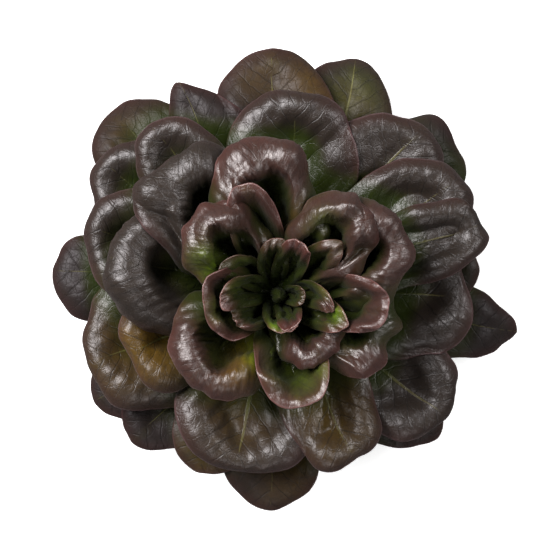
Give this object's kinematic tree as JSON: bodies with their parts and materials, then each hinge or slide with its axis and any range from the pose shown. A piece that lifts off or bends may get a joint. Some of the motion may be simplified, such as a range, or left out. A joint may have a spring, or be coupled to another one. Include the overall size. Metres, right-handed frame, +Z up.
{
  "type": "red butterhead lettuce",
  "caption": "Whole head of dark red butterhead lettuce: a loose rosette of broad cupped leaves round a curled heart, on a short cut stem.",
  "frame": {"origin": "centre of the cut face of the stem, on the ground", "axes": "+Z up along the stem; +Y is the picture's upward direction and +X its right, as the picture looks straight down"},
  "size_m": [0.2571, 0.2523, 0.1113],
  "materials": {
    "stem": "moist pale green flesh, matt",
    "outer_leaves": "satin, dark purple-brown with olive green towards the stem",
    "middle_leaves": "satin, dark purple-brown with green hollows",
    "heart_leaves": "glossy, dark red-brown with bright yellow-green stalks"
  },
  "bodies": {
    "root": {"stem": "stem", "outer_leaf_01": "outer_leaves", "outer_leaf_02": "outer_leaves", "outer_leaf_03": "outer_leaves", "outer_leaf_04": "outer_leaves", "outer_leaf_05": "outer_leaves", "outer_leaf_06": "outer_leaves", "outer_leaf_07": "outer_leaves", "outer_leaf_08": "outer_leaves", "outer_leaf_09": "outer_leaves", "outer_leaf_10": "outer_leaves", "outer_leaf_11": "outer_leaves", "outer_leaf_12": "outer_leaves", "outer_leaf_13": "outer_leaves", "outer_leaf_14": "outer_leaves", "middle_leaf_01": "middle_leaves", "middle_leaf_02": "middle_leaves", "middle_leaf_03": "middle_leaves", "middle_leaf_04": "middle_leaves", "middle_leaf_05": "middle_leaves", "middle_leaf_06": "middle_leaves", "middle_leaf_07": "middle_leaves", "middle_leaf_08": "middle_leaves", "middle_leaf_09": "middle_leaves", "middle_leaf_10": "middle_leaves", "middle_leaf_11": "middle_leaves", "middle_leaf_12": "middle_leaves", "middle_leaf_13": "middle_leaves", "middle_leaf_14": "middle_leaves", "middle_leaf_15": "middle_leaves", "heart": "heart_leaves"}
  },
  "joints": []
}
